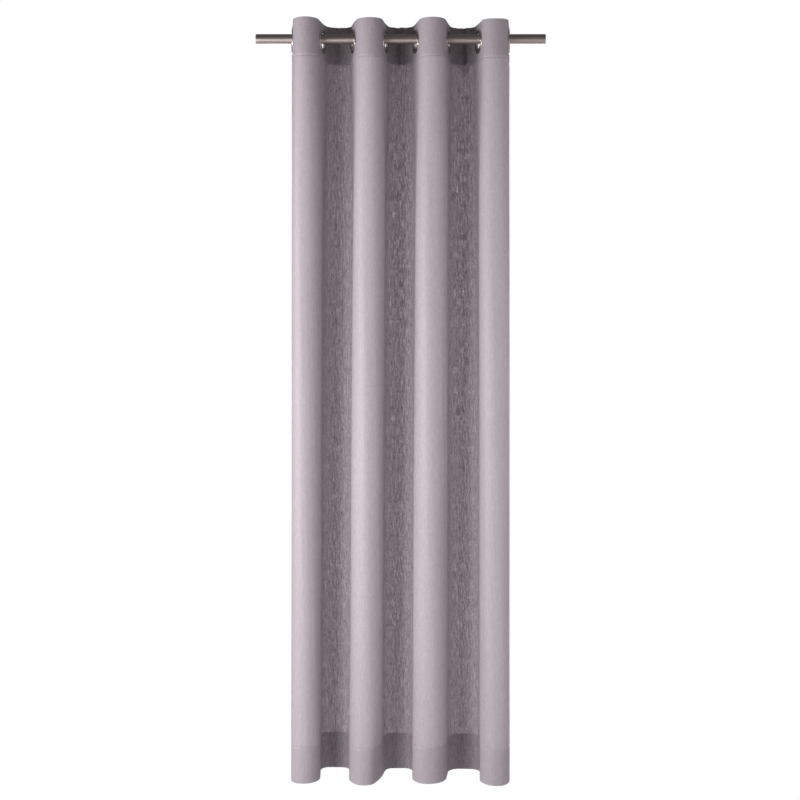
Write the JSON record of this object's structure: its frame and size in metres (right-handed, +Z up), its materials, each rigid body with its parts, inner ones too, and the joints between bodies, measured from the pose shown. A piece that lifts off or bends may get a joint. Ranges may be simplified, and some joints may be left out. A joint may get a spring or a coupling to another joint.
{
  "type": "eyelet curtain panel on a pole",
  "caption": "Floor-length fabric curtain panel with ring-top eyelets, hanging in even waves on a straight round pole.",
  "frame": {"origin": "middle of the pole's axis, halfway along its length", "axes": "+X along the pole, -Y towards the room, +Z up"},
  "size_m": [0.82, 0.1336, 2.134],
  "materials": {
    "fabric": "mauve taupe slub weave",
    "header_stiffener": "pale non-woven interlining",
    "eyelet_metal": "satin nickel",
    "pole_metal": "brushed warm grey nickel"
  },
  "bodies": {
    "pole": {"pole": "pole_metal", "pole_cap_left": "pole_metal", "pole_cap_right": "pole_metal"},
    "section_1": {"cloth_1": "fabric", "header_stiffener_1": "header_stiffener", "header_facing_1": "fabric", "bottom_hem_1": "fabric", "eyelet_front_1": "eyelet_metal", "eyelet_back_1": "eyelet_metal", "side_hem_left": "fabric"},
    "section_2": {"cloth_2": "fabric", "header_stiffener_2": "header_stiffener", "header_facing_2": "fabric", "bottom_hem_2": "fabric", "eyelet_front_2": "eyelet_metal", "eyelet_back_2": "eyelet_metal"},
    "section_3": {"cloth_3": "fabric", "header_stiffener_3": "header_stiffener", "header_facing_3": "fabric", "bottom_hem_3": "fabric", "eyelet_front_3": "eyelet_metal", "eyelet_back_3": "eyelet_metal"},
    "section_4": {"cloth_4": "fabric", "header_stiffener_4": "header_stiffener", "header_facing_4": "fabric", "bottom_hem_4": "fabric", "eyelet_front_4": "eyelet_metal", "eyelet_back_4": "eyelet_metal"},
    "section_5": {"cloth_5": "fabric", "header_stiffener_5": "header_stiffener", "header_facing_5": "fabric", "bottom_hem_5": "fabric", "eyelet_front_5": "eyelet_metal", "eyelet_back_5": "eyelet_metal"},
    "section_6": {"cloth_6": "fabric", "header_stiffener_6": "header_stiffener", "header_facing_6": "fabric", "bottom_hem_6": "fabric", "eyelet_front_6": "eyelet_metal", "eyelet_back_6": "eyelet_metal"},
    "section_7": {"cloth_7": "fabric", "header_stiffener_7": "header_stiffener", "header_facing_7": "fabric", "bottom_hem_7": "fabric", "eyelet_front_7": "eyelet_metal", "eyelet_back_7": "eyelet_metal"},
    "section_8": {"cloth_8": "fabric", "header_stiffener_8": "header_stiffener", "header_facing_8": "fabric", "bottom_hem_8": "fabric", "eyelet_front_8": "eyelet_metal", "eyelet_back_8": "eyelet_metal", "side_hem_right": "fabric"}
  },
  "joints": [
    {"name": "gather", "type": "hinge", "parent": "pole", "child": "section_8", "pos_m": [0.30512, 0.00228, 0], "axis": [0, 0, 1], "range_deg": [-5, 19]},
    {"name": "front_fold_7", "type": "hinge", "parent": "section_8", "child": "section_7", "pos_m": [0.267, -0.06536, 0], "axis": [0, 0, 1], "range_deg": [-38, 10]},
    {"name": "back_fold_6", "type": "hinge", "parent": "section_7", "child": "section_6", "pos_m": [0.178, 0.06536, 0], "axis": [0, 0, 1], "range_deg": [-10, 38]},
    {"name": "front_fold_5", "type": "hinge", "parent": "section_6", "child": "section_5", "pos_m": [0.089, -0.06536, 0], "axis": [0, 0, 1], "range_deg": [-38, 10]},
    {"name": "back_fold_4", "type": "hinge", "parent": "section_5", "child": "section_4", "pos_m": [0, 0.06536, 0], "axis": [0, 0, 1], "range_deg": [-10, 38]},
    {"name": "front_fold_3", "type": "hinge", "parent": "section_4", "child": "section_3", "pos_m": [-0.089, -0.06536, 0], "axis": [0, 0, 1], "range_deg": [-38, 10]},
    {"name": "back_fold_2", "type": "hinge", "parent": "section_3", "child": "section_2", "pos_m": [-0.178, 0.06536, 0], "axis": [0, 0, 1], "range_deg": [-10, 38]},
    {"name": "front_fold_1", "type": "hinge", "parent": "section_2", "child": "section_1", "pos_m": [-0.267, -0.06536, 0], "axis": [0, 0, 1], "range_deg": [-38, 10]}
  ],
  "couplings": [
    {"joint": "front_fold_7", "follows": "gather", "ratio": -2},
    {"joint": "back_fold_6", "follows": "gather", "ratio": 2},
    {"joint": "front_fold_5", "follows": "gather", "ratio": -2},
    {"joint": "back_fold_4", "follows": "gather", "ratio": 2},
    {"joint": "front_fold_3", "follows": "gather", "ratio": -2},
    {"joint": "back_fold_2", "follows": "gather", "ratio": 2},
    {"joint": "front_fold_1", "follows": "gather", "ratio": -2}
  ]
}
